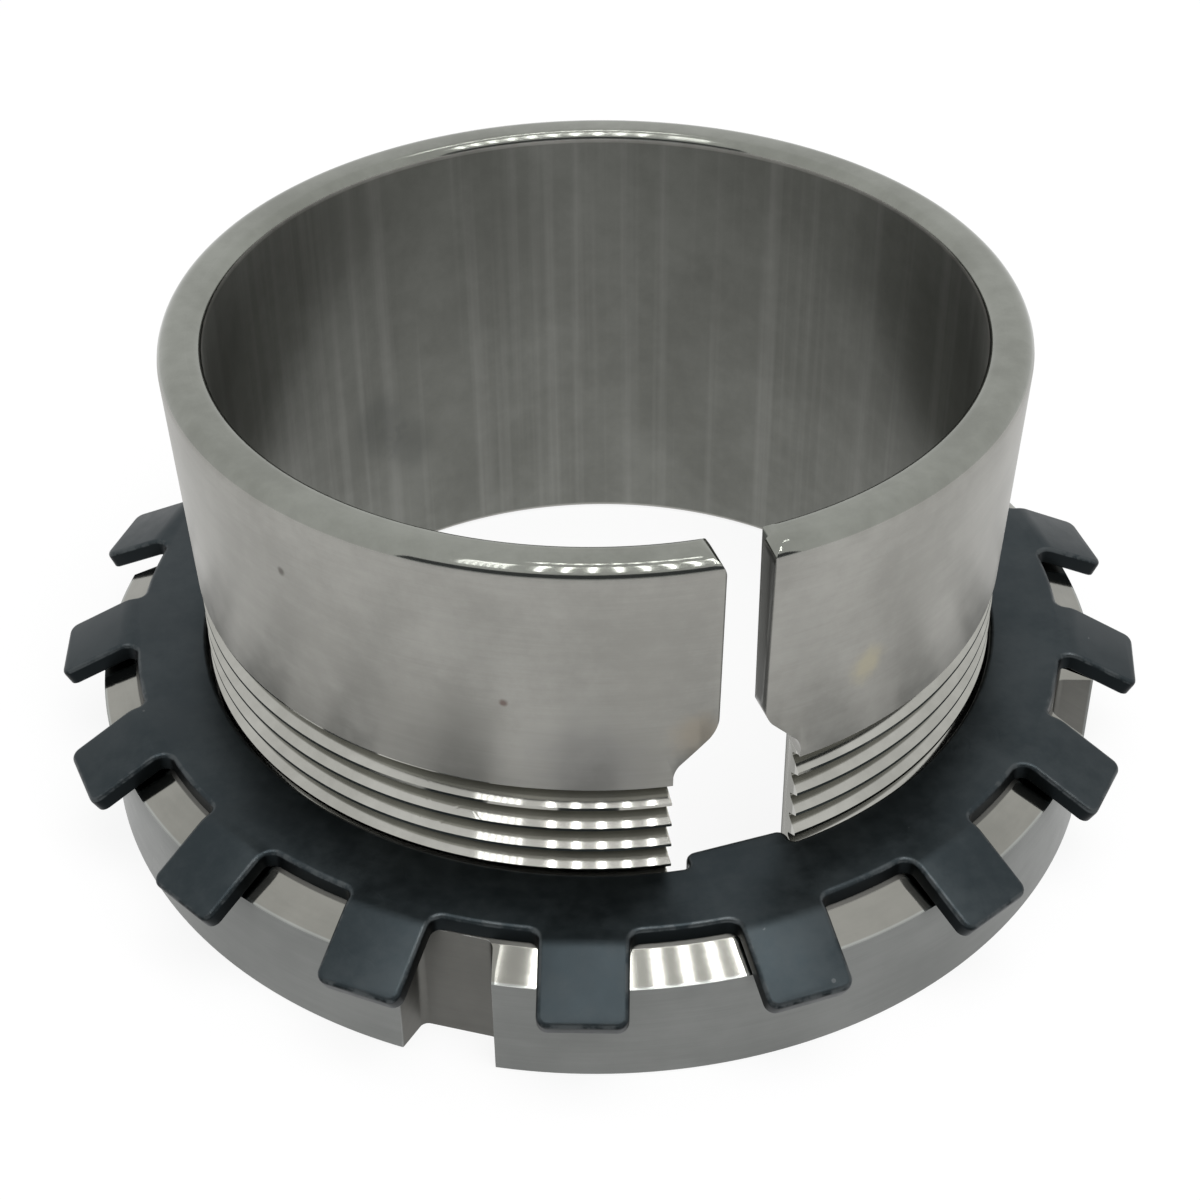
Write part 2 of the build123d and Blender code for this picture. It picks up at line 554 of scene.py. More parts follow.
@dataclass
class SurfaceEffects:
    """The node groups that the three finishes share, each built once.

    Sizes of patterns are given as cells per metre, and a streak's as cells around and along
    the axis and its detail.
    """

    fine_lines: float = 260.0
    coarse_lines: float = 130.0
    coarse_share: float = 0.21
    height_share: float = 1.37
    small_patches: float = 7.0
    speck_groups: float = 75.0
    speck_limit: float = 0.56
    scratch_groups: float = 55.0
    scratch_group_range: tuple[float, float] = (0.56, 0.66)
    scratch_waves: float = 60.0
    scratch_bend: float = 9.0
    scratch_bend_scale: float = 2.4
    scratch_range: tuple[float, float] = (0.986, 0.999)
    streak_sizes: tuple[tuple[float, float, float], ...] = ((620.0, 9.0, 3.0), (150.0, 6.0, 1.0))
    section: NodeTree = field(init=False)
    lines: NodeTree = field(init=False)
    clouds: NodeTree = field(init=False)
    marks: NodeTree = field(init=False)
    streaks: NodeTree = field(init=False)
    zone: NodeTree = field(init=False)

    def __post_init__(self) -> None:
        """Builds the groups, the section first because others hold it."""
        self.section = self.build_section()
        self.lines = self.build_lines()
        self.clouds = self.build_clouds()
        self.marks = self.build_marks()
        self.streaks = self.build_reflection_streaks()
        self.zone = self.build_zone()

    @staticmethod
    def stretched(graph: Graph, split: Node, flat: float, upright: NodeSocket) -> NodeSocket:
        """Scales a place's two level coordinates, and sets its third.

        Args:
            graph: The group's graph.
            split: The node that holds the place's coordinates.
            flat: What the level coordinates are multiplied by.
            upright: The third coordinate.

        Returns:
            The new place.
        """
        level = [graph.math("MULTIPLY", split.outputs[i], flat) for i in (0, 1)]
        return graph.node("ShaderNodeCombineXYZ", dict(enumerate([*level, upright]))).outputs[0]

    def build_section(self) -> NodeTree:
        """Radius and height in millimetres of a point on the part.

        Returns:
            The group.
        """
        graph, start = new_group("radius_and_height", {}, ["Radius", "Height"])
        split = graph.node("ShaderNodeSeparateXYZ", {0: start.outputs[0]})
        level = graph.node("ShaderNodeCombineXYZ", {0: split.outputs[0], 1: split.outputs[1]})
        length = graph.node("ShaderNodeVectorMath", {0: level.outputs[0]}, operation="LENGTH")
        radius = graph.math("MULTIPLY", length.outputs["Value"], MM_PER_M)
        return graph.close(radius, graph.math("MULTIPLY", split.outputs[2], MM_PER_M))

    def build_lines(self) -> NodeTree:
        """Fine lines that a turning tool or a grinding wheel leaves around the axis.

        Returns:
            The group.
        """
        graph, start = new_group("turning_lines", {"Per mm": 6.0}, ["Fine", "Coarse"])
        place, per_mm = start.outputs[:2]
        section = graph.group(self.section, place)
        height = graph.math("MULTIPLY", section.outputs[1], self.height_share)
        across = graph.math("ADD", section.outputs[0], height)
        split = graph.node("ShaderNodeSeparateXYZ", {0: place})
        wide = graph.math("MULTIPLY", per_mm, self.coarse_share)
        fine = self.stretched(graph, split, self.fine_lines, graph.math("MULTIPLY", across, per_mm))
        coarse = self.stretched(graph, split, self.coarse_lines, graph.math("MULTIPLY", across, wide))
        return graph.close(graph.noise(fine, 1.0, detail=3.0, rough=0.6), graph.noise(coarse, 1.0))

    def build_clouds(self) -> NodeTree:
        """Soft uneven patches, as handling and thin oil leave on steel.

        Returns:
            The group.
        """
        graph, start = new_group("soft_patches", {"Per m": 90.0}, ["Broad", "Small"])
        place, per_m = start.outputs[:2]
        finer = graph.math("MULTIPLY", per_m, self.small_patches)
        broad = graph.noise(place, per_m, detail=3.0, rough=0.55)
        return graph.close(broad, graph.noise(place, finer, detail=4.0, rough=0.65))

    def build_marks(self) -> NodeTree:
        """Small specks, and short scratches in all directions.

        Returns:
            The group.
        """
        sizes = {"Specks per m": 420.0, "Speck size": 0.07}
        graph, start = new_group("specks_and_scratches", sizes, ["Specks", "Scratches"])
        place, per_m, size = start.outputs[:3]
        cells = graph.node("ShaderNodeTexVoronoi", {"Vector": place, "Scale": per_m, "Randomness": 1.0})
        dot = graph.math("LESS_THAN", cells.outputs["Distance"], size)
        some = graph.noise(place, self.speck_groups, detail=1.0)
        rare = graph.math("GREATER_THAN", some, self.speck_limit)
        wave = graph.node(
            "ShaderNodeTexWave",
            {
                "Vector": place,
                "Scale": self.scratch_waves,
                "Distortion": self.scratch_bend,
                "Detail": 2.0,
                "Detail Scale": self.scratch_bend_scale,
            },
            wave_type="BANDS",
            bands_direction="DIAGONAL",
        )
        thin = graph.ramp(wave.outputs["Fac"], *self.scratch_range)
        group = graph.noise(place, self.scratch_groups, detail=1.0)
        here = graph.ramp(group, *self.scratch_group_range)
        return graph.close(graph.math("MULTIPLY", dot, rare), graph.math("MULTIPLY", thin, here))

    def build_reflection_streaks(self) -> NodeTree:
        """Fine straight light streaks along the axis in a bore, a painted reflection of the lamps.

        Returns:
            The group.
        """
        graph, start = new_group("painted_reflection_streaks", {}, ["Thin", "Wide"])
        split = graph.node("ShaderNodeSeparateXYZ", {0: start.outputs[0]})
        found = []
        for around, along, detail in self.streak_sizes:
            upright = graph.math("MULTIPLY", split.outputs[2], along)
            place = self.stretched(graph, split, around, upright)
            found.append(graph.noise(place, 1.0, detail=detail, rough=0.6))
        return graph.close(*found)

    def build_zone(self) -> NodeTree:
        """A mask that is one within limits of height, radius and place, in millimetres.

        Returns:
            The group.
        """
        limits = {
            "Low": 0.0,
            "High": 40.0,
            "Inner": 0.0,
            "Outer": FAR,
            "Soft": 0.1,
            "Half width": FAR,
            "Behind": FAR,
        }
        graph, start = new_group("zone", limits, ["Mask"])
        place, low, high, inner, outer, soft, half, behind = start.outputs[:8]
        radius, height = graph.group(self.section, place).outputs
        split = graph.node("ShaderNodeSeparateXYZ", {0: place})
        aside, back = [graph.math("MULTIPLY", split.outputs[i], MM_PER_M) for i in (0, 1)]
        pairs = (
            (half, graph.math("ABSOLUTE", aside)),
            (behind, back),
            (height, low),
            (high, height),
            (radius, inner),
            (outer, radius),
        )
        depths = [graph.math("SUBTRACT", more, less) for more, less in pairs]
        depth = reduce(lambda a, b: graph.math("MINIMUM", a, b), depths)
        share = graph.math("DIVIDE", depth, soft)
        return graph.close(graph.math("ADD", share, MIDDLE, clamp=True))


@dataclass
class Surface:
    """A finish while it is put together, with its colour and its roughness so far."""

    graph: Graph
    effects: SurfaceEffects
    place: NodeSocket
    fine: NodeSocket
    colour: NodeSocket = field(init=False)
    rough: NodeSocket = field(init=False)


@dataclass(frozen=True)
class StainAndShade:
    """One soft local change of colour on a piece, at a place in millimetres, used for stains and for
    patches of painted shade.
    """

    place: tuple[float, float, float]
    reach: float
    colour: Colour
    strength: float
    ragged: float = 1.2
    border: tuple[float, float] = (0.6, -0.3)

    def lay(self, surface: Surface) -> None:
        """Lays the mark over a surface, with a border that fine noise breaks up.

        Args:
            surface: The surface.
        """
        graph = surface.graph
        ends = {0: surface.place, 1: tuple(MM * c for c in self.place)}
        away = graph.node("ShaderNodeVectorMath", ends, operation="DISTANCE")
        reach = self.reach * MM
        broken = graph.math("MULTIPLY", surface.fine, reach * self.ragged)
        depth = graph.math("SUBTRACT", away.outputs["Value"], broken)
        low, high = (reach * share for share in self.border)
        mask = graph.ramp(depth, low, high, 0.0, self.strength)
        surface.colour = graph.mix(mask, surface.colour, self.colour)


@dataclass(frozen=True)
class Zone:
    """A part of a piece, between two heights and two radii, with its own gloss and tone.

    It can be narrowed to a strip beside the slit's plane, and to what lies in front of a
    plane. Where it is plain, the lines around the axis are left out. In some zones the tone is
    painted shade or a painted highlight, and the streaks are painted reflections.
    """

    low: float
    high: float
    inner: float
    outer: float
    roughness: float
    tone: tuple[float, float, float] = (1.0, 1.0, 1.0)
    streaks: float = 0.0
    plain: float = 0.0
    soft: float = 0.1
    half_width: float = FAR
    behind: float = FAR
    streak_range: tuple[float, float] = (0.42, 0.78)
    reflection_streak_colour: Colour = (0.4, 0.4, 0.38, 1)

    def mask(self, surface: Surface) -> NodeSocket:
        """One inside the zone, zero outside."""
        limits = (self.low, self.high, self.inner, self.outer, self.soft, self.half_width, self.behind)
        return surface.graph.group(surface.effects.zone, surface.place, *limits).outputs[0]

    def lay(self, surface: Surface) -> None:
        """Gives the zone its own gloss and tone, and its painted reflection streaks where it has them.

        Args:
            surface: The surface.
        """
        graph = surface.graph
        mask = self.mask(surface)
        toned = graph.mix(1.0, surface.colour, (*self.tone, 1), "MULTIPLY")
        if self.streaks:
            # Painted reflection: light streaks along the axis
            thin, wide = graph.group(surface.effects.streaks, surface.place).outputs
            drawn = graph.math("MULTIPLY", graph.ramp(thin, *self.streak_range), self.streaks)
            drawn = graph.math("ADD", drawn, graph.swing(wide, self.streaks))
            toned = graph.mix(drawn, toned, self.reflection_streak_colour)
        surface.colour = graph.mix(mask, surface.colour, toned)
        surface.rough = graph.mix_numbers(mask, surface.rough, self.roughness)


@dataclass(frozen=True)
class SteelFinish:
    """A bare steel finish with its lines, patches, wear and painted shade and highlights."""

    name: str
    light: Colour
    dark: Colour
    lines_per_mm: float
    line_depth: float
    roughness: float
    rough_swing: float
    brushed: float = 0.0
    brush_turn: float = 0.25
    zones: tuple[Zone, ...] = ()
    stains_and_shade: tuple[StainAndShade, ...] = ()
    line_tone: float = 0.3
    cloud_tone: float = 0.75
    tone_range: tuple[float, float] = (0.18, 0.6)
    grain: float = 0.3
    side_shade_tone: float = 1.0
    side_shade_range: tuple[float, float] = (0.15, 0.7)
    speck: float = 0.5
    speck_colour: Colour = (0.6, 0.6, 0.6, 1)
    scratch_depth: float = 1.5
    edge_colour: Colour = (0.4, 0.4, 0.39, 1)
    edge_wear: tuple[float, float] = (0.2, 0.8)
    edge_rough: float = 0.2
    patch_range: tuple[float, float] = (0.35, 0.6)

    def material(self, effects: SurfaceEffects) -> Material:
        """Builds the finish.

        Args:
            effects: The shared node groups.

        Returns:
            The material.
        """
        made, graph = new_material(self.name)
        coords = graph.node("ShaderNodeTexCoord")
        place = coords.outputs["Object"]
        lines = graph.group(effects.lines, place, self.lines_per_mm).outputs
        broad, small = graph.group(effects.clouds, place).outputs
        specks, scratches = graph.group(effects.marks, place).outputs
        surface = Surface(graph, effects, place, small)
        drawn = graph.math("SUBTRACT", 1.0, self.plain_mask(surface))
        line_tone = graph.total(*(graph.swing(line, self.line_tone) for line in lines))
        tone = graph.total(
            graph.math("MULTIPLY", line_tone, drawn),
            graph.math("MULTIPLY", broad, self.cloud_tone),
            graph.swing(small, self.grain),
        )
        surface.colour = graph.mix(graph.ramp(tone, *self.tone_range), self.dark, self.light)
        surface.rough = graph.math("ADD", self.roughness, graph.swing(small, self.rough_swing))
        # Painted shade on the walls that stand upright
        if self.side_shade_tone < 1.0:
            self.paint_side_shade(surface, coords.outputs["Normal"])
        for layer in (*self.zones, *self.stains_and_shade):
            layer.lay(surface)
        edge = graph.node("ShaderNodeAttribute", attribute_name=WORN).outputs["Fac"]
        patchy = graph.math("MULTIPLY", graph.ramp(small, *self.patch_range), edge)
        worn = graph.ramp(patchy, *self.edge_wear)
        colour = graph.mix(worn, surface.colour, self.edge_colour)
        colour = graph.mix(graph.math("MULTIPLY", specks, self.speck), colour, self.speck_colour)
        relief = graph.total(
            graph.math("MULTIPLY", graph.total(*lines), drawn),
            graph.math("MULTIPLY", scratches, -self.scratch_depth),
            graph.math("MULTIPLY", small, self.grain),
        )
        depth = self.line_depth * MM
        bump = graph.node("ShaderNodeBump", {"Height": relief, "Strength": 1.0, "Distance": depth})
        around = graph.node("ShaderNodeTangent", direction_type="RADIAL", axis="Z")
        shader = graph.node(
            "ShaderNodeBsdfPrincipled",
            {
                "Base Color": colour,
                "Metallic": 1.0,
                "Roughness": graph.mix_numbers(worn, surface.rough, self.edge_rough),
                "Normal": bump.outputs[0],
                "Anisotropic": self.brushed,
                "Anisotropic Rotation": self.brush_turn,
                "Tangent": around.outputs[0],
            },
        )
        graph.node("ShaderNodeOutputMaterial", {0: shader.outputs[0]})
        return made

    def plain_mask(self, surface: Surface) -> NodeSocket:
        """Where the lines around the axis are left out.

        Args:
            surface: The surface.

        Returns:
            One in the zones without lines, zero in the rest.
        """
        graph = surface.graph
        most = graph.math("ADD", 0.0, 0.0)
        for zone in self.zones:
            if zone.plain:
                part = graph.math("MULTIPLY", zone.mask(surface), zone.plain)
                most = graph.math("MAXIMUM", most, part)
        return most

    def paint_side_shade(self, surface: Surface, normal: NodeSocket) -> None:
        """Darkens the walls that stand upright, a painted shade on the sheet's sides.

        Args:
            surface: The surface.
            normal: Its normal in the object's own directions.
        """
        graph = surface.graph
        facing = graph.node("ShaderNodeSeparateXYZ", {0: normal}).outputs[2]
        upright = graph.ramp(graph.math("ABSOLUTE", facing), *self.side_shade_range, 1.0, 0.0)
        shade = (*(self.side_shade_tone * c for c in self.dark[:3]), 1)
        surface.colour = graph.mix(upright, surface.colour, shade)


# The thread


@dataclass(frozen=True)
class ThreadForm:
    """The metric thread, as a section that repeats once per pitch.

    The root is where the sleeve's groove is deepest. Its height at the slit's side fixes how
    the thread lies, and the nut's thread is drawn from the same height, so that they mesh.
    """

    crest_radius: float = 32.5
    pitch: float = 2.0
    root_height: float = 17.166
    depth: float = 1.227
    crest_flat: float = 0.25
    root_flat: float = 0.25
    soft: float = 0.06

    def section(self, crest_radius: float) -> list[tuple[float, float]]:
        """One pitch of the thread's section, from root to root.

        Args:
            crest_radius: The sleeve's crest radius, or the radius that the nut has there.

        Returns:
            Points as radius and height above the root, without the last root.
        """
        root_radius = crest_radius - self.depth
        half = self.pitch / 2
        crest_edge = half - self.crest_flat / 2
        root_edge = self.root_flat / 2
        soft = self.soft
        slope = self.depth / (crest_edge - root_edge)
        rising = [
            (root_radius, 0.0),
            (root_radius, root_edge - soft),
            (root_radius + soft * slope * 0.5, root_edge + soft * 0.5),
            (root_radius + self.depth * 0.5, (root_edge + crest_edge) / 2),
            (crest_radius, crest_edge),
            (crest_radius, half),
        ]
        falling = [(r, self.pitch - z) for r, z in reversed(rising[1:-1])]
        return rising + falling

    def band(
        self, side: Side, low: float, high: float, limit: Callable[[float], float], gap: float = 0.0
    ) -> BMesh:
        """The helical surface between two heights.

        Args:
            side: Whether the thread is on the outside or the inside of its wall.
            low: Where the band starts.
            high: Where it ends.
            limit: The radius at which a chamfer cuts the thread, by height.
            gap: How far the surface lies outside the sleeve's thread.

        Returns:
            The band, open at both ends.
        """
        bm = bmesh.new()
        first = math.floor((low - self.root_height) / self.pitch) - 2
        last = math.ceil((high - self.root_height) / self.pitch) + 1
        points = [
            at_turn(radius, self.root_height + k * self.pitch + z)
            for k in range(first, last)
            for radius, z in self.section(self.crest_radius + gap)
        ]
        turn_chain(bm, add_chain(bm, points), self.pitch)
        bmesh.ops.remove_doubles(bm, verts=bm.verts, dist=1e-3)
        for height, facing in ((low, -1), (high, 1)):
            bmesh.ops.bisect_plane(
                bm,
                geom=[*bm.verts, *bm.edges, *bm.faces],
                dist=1e-5,
                plane_co=(0, 0, height),
                plane_no=(0, 0, facing),
                clear_outer=True,
            )
        for vert in bm.verts:
            radius = math.hypot(vert.co.x, vert.co.y)
            allowed = limit(vert.co.z)
            if (radius - allowed) * side.value > 0:
                vert.co.x *= allowed / radius
                vert.co.y *= allowed / radius
        return bm


# The pieces


@dataclass
class AdapterSleeve:
    """The slit sleeve: bore, 1:12 taper, thread and keyway."""

    finish: SteelFinish
    effects: SurfaceEffects
    thread: ThreadForm
    bore_radius: float = 30.0
    length: float = 40.0
    taper_small: float = 32.65
    taper_large: float = 33.483
    thread_length: float = 20.0
    mouth_round_outside: float = 1.2
    mouth_round_inside: float = 0.9
    end_chamfer: float = 0.7
    bore_chamfer: float = 0.4
    slit_width: float = 3.4
    slit_corner_round: float = 1.2
    keyway_width: float = 9.7
    shoulder_height: float = 21.5
    shoulder_angle: float = 47.0
    shoulder_round: float = 2.7
    keyway_corner_round: float = 1.8
    bevel_depth: float = 1.2
    bevel_width: float = 0.4
    bevel_inset: float = 0.02
    bevel_run: float = 3.0
    edge_round: float = 0.3
    taper_foot: tuple[float, float] = (0.05, 0.06)
    taper_rows: int = 5
    rim_inset: float = 0.05
    rim_lean: float = 2.4
    rim_steps: tuple[int, int] = (7, 6)
    bore_rows: tuple[float, ...] = (0.72, 0.48, 0.24)
    end_face: float = 1.0
    rounded_from: float = 0.4
    rounded_beside: float = 1.5
    rounded_angle: float = 35.0
    wall_tilt: float = 0.2

    def shell(self) -> BMesh:
        """The turned surface from the thread's upper end over the rim and down the bore.

        Returns:
            The surface, open where the thread goes.
        """
        outside, inside = self.mouth_round_outside, self.mouth_round_inside
        top, bore = self.length, self.bore_radius
        low = (self.taper_small, self.thread_length)
        high = (self.taper_large - self.rim_inset, top - outside)
        foot_in, foot_up = self.taper_foot
        section = [(low[0] - foot_in, low[1]), (low[0], low[1] + foot_up)]
        shares = [i / self.taper_rows for i in range(1, self.taper_rows)]
        section += [tuple(a + (b - a) * share for a, b in zip(low, high)) for share in shares]
        outer_steps, inner_steps = self.rim_steps
        middle = (high[0] - outside, top - outside)
        section += arc_points(middle, outside, self.rim_lean, 90, outer_steps)
        section += arc_points((bore + inside, top - inside), inside, 90, 180, inner_steps)
        section += [(bore, top * share) for share in self.bore_rows]
        section += [(bore, self.bore_chamfer), (bore + self.bore_chamfer, 0.0)]
        section += [(bore + self.end_face, 0.0)]
        return turned_surface(section)

    def blank(self) -> BMesh:
        """The whole sleeve before it is slit.

        Returns:
            The closed mesh.
        """
        start = self.thread.crest_radius - self.end_chamfer
        high = self.thread_length
        band = self.thread.band(Side.OUTSIDE, 0.0, high, lambda z: start + max(z, 0.0))
        return close_wall(band, self.shell(), ((0.0, -1), (high, -1)))

    def slit_cutter(self) -> BMesh:
        """The bar that opens slit, shoulders and keyway, drawn as seen from the front.

        Returns:
            The bar to take away.
        """
        half = self.slit_width / 2
        key = self.keyway_width / 2
        rise = (key - half) * math.tan(math.radians(self.shoulder_angle))
        shoulder = self.shoulder_height + rise
        top = self.length
        right = [(key, -FAR), (key, self.shoulder_height), (half, shoulder), (half, top)]
        right += [(FAR, top), (FAR, top + FAR)]
        left = [(-x, z) for x, z in reversed(right)]
        outline = [left[-1], *right, *left[:-1]]
        blunt = math.tan(math.radians((90 - self.shoulder_angle) / 2))
        rounds = []
        for side in (-1, 1):
            rounds += [
                (side * half, top, self.slit_corner_round),
                (side * half, shoulder, self.shoulder_round * blunt),
                (side * key, self.shoulder_height, self.keyway_corner_round * blunt),
            ]
        upright = Matrix(((1, 0, 0, 0), (0, 0, -1, 0), (0, 1, 0, 0), (0, 0, 0, 1)))
        return upright_prism(outline, rounds, upright, FAR)

    def wedge_cutter(self) -> BMesh:
        """The wedge that bevels the slit's two edges along the bore.

        Returns:
            The bar to take away.
        """
        widen = self.bevel_width / self.bevel_depth
        half = self.slit_width / 2 - self.bevel_inset
        outer = self.bore_radius + self.bevel_depth
        inner = self.bore_radius - self.bevel_run
        wide = half + (outer - inner) * widen
        outline = [(-half, -outer), (half, -outer), (wide, -inner), (-wide, -inner)]
        low = Matrix.Translation((0, 0, -1))
        return upright_prism(outline, (), low, self.length + 2)

    def slit_edges(self, bm: BMesh) -> list[BMEdge]:
        """The sharp edges where the slit leaves the taper, the rim and the bore.

        Args:
            bm: The slit sleeve.

        Returns:
            The edges.
        """
        low = self.thread_length + self.rounded_from
        reach = self.keyway_width / 2 + self.rounded_beside
        sharp = math.radians(self.rounded_angle)
        found = []
        for edge in bm.edges:
            a, b = edge.verts
            near = max(abs(a.co.x), abs(b.co.x)) < reach and max(a.co.y, b.co.y) < 0
            if not near or min(a.co.z, b.co.z) < low or not edge.is_manifold:
                continue
            walls = [abs(f.normal.y) < self.wall_tilt for f in edge.link_faces]
            if walls[0] != walls[1] and edge.calc_face_angle() > sharp:
                found.append(edge)
        return found

    def build(self) -> Object:
        """Builds the sleeve.

        Returns:
            The dressed piece.
        """
        bm = cut_away(self.blank(), [self.slit_cutter(), self.wedge_cutter()])
        round_edges(bm, self.slit_edges(bm), self.edge_round, 3)
        look = self.finish.material(self.effects)
        return finish_piece("steel_sleeve", bm, look, Body.SLEEVE, "adapter_sleeve")


@dataclass
class LockNut:
    """The slotted ring nut with its bevel and inner thread."""

    finish: SteelFinish
    effects: SurfaceEffects
    thread: ThreadForm
    outer_radius: float = 41.5
    face_radius: float = 38.4
    bottom: float = 0.0
    width: float = 10.4
    bevel_angle: float = 25.0
    edge_break: float = 0.15
    mouth_radius: float = 33.0
    thread_gap: float = 0.13
    slot_count: int = 4
    slot_width: float = 7.3
    slot_depth: float = 3.0
    slot_wall_lean: float = 14.0
    slot_corner_round: float = 0.5
    slot_turn: float = -33.6
    slot_run: float = 20.0
    slot_overrun: tuple[float, float] = (2.0, 8.0)
    edge_round: float = 0.16
    soft_edge: float = 0.05
    face_lap: float = 0.25
    side_rows: tuple[float, float] = (3.4, 2.5)
    rounded_inside: float = 0.3
    rounded_angle: float = 50.0

    def shell(self, low: float, high: float) -> BMesh:
        """The turned surface from the lower face over the side and the bevel to the upper face.

        Args:
            low: The lower face's height.
            high: The upper face's height.

        Returns:
            The surface, open where the thread goes.
        """
        side, face, soft = self.outer_radius, self.face_radius, self.soft_edge
        corner = high - (side - face) * math.tan(math.radians(self.bevel_angle))
        lap = self.mouth_radius + self.face_lap
        section = [
            (lap, low),
            (side - self.edge_break, low),
            (side, low + self.edge_break),
            (side, low + self.side_rows[0]),
            (side, corner - self.side_rows[1]),
            (side, corner - soft),
            (side - 0.3 * soft, corner + 0.2 * soft),
            (side - soft, corner + 0.55 * soft),
            (face + soft, high - 0.45 * soft),
            (face, high),
            (lap, high),
        ]
        return turned_surface(section)

    def blank(self) -> BMesh:
        """The nut before its slots are milled.

        Returns:
            The closed mesh.
        """
        low, high = self.bottom, self.bottom + self.width
        band = self.thread.band(
            Side.INSIDE,
            low,
            high,
            lambda z: self.mouth_radius - min(z - low, high - z),
            self.thread_gap,
        )
        return close_wall(band, self.shell(low, high), ((low, -1), (high, 1)))

    def slot_cutter(self, turn: float) -> BMesh:
        """The milling cut of one slot.

        Args:
            turn: The slot's turn from the slit's side, in degrees.

        Returns:
            The bar to take away.
        """
        floor = self.outer_radius - self.slot_depth
        spread = math.tan(math.radians(self.slot_wall_lean))
        half = self.slot_width / 2 - self.slot_depth * spread
        wide = half + self.slot_run * spread
        end = floor + self.slot_run
        outline = [(-half, -floor), (-wide, -end), (wide, -end), (half, -floor)]
        rounds = [(side * half, -floor, self.slot_corner_round) for side in (-1, 1)]
        below, extra = self.slot_overrun
        place = Matrix.Rotation(math.radians(turn), 4, "Z") @ Matrix.Translation((0, 0, -below))
        return upright_prism(outline, rounds, place, self.width + extra)

    def slot_edges(self, bm: BMesh) -> list[BMEdge]:
        """The sharp edges around the slots.

        Args:
            bm: The nut with its slots.

        Returns:
            The edges.
        """
        floor = self.outer_radius - self.slot_depth - self.rounded_inside
        sharp = math.radians(self.rounded_angle)
        edges = [e for e in bm.edges if e.is_manifold and e.calc_face_angle() >= sharp]
        return [e for e in edges if middle_of(e).xy.length > floor]

    def build(self) -> Object:
        """Builds the nut.

        Returns:
            The dressed piece.
        """
        turns = [self.slot_turn + i * 360 / self.slot_count for i in range(self.slot_count)]
        bm = cut_away(self.blank(), [self.slot_cutter(turn) for turn in turns])
        round_edges(bm, self.slot_edges(bm), self.edge_round, 2)
        look = self.finish.material(self.effects)
        return finish_piece("steel_nut", bm, look, Body.NUT, "lock_nut")


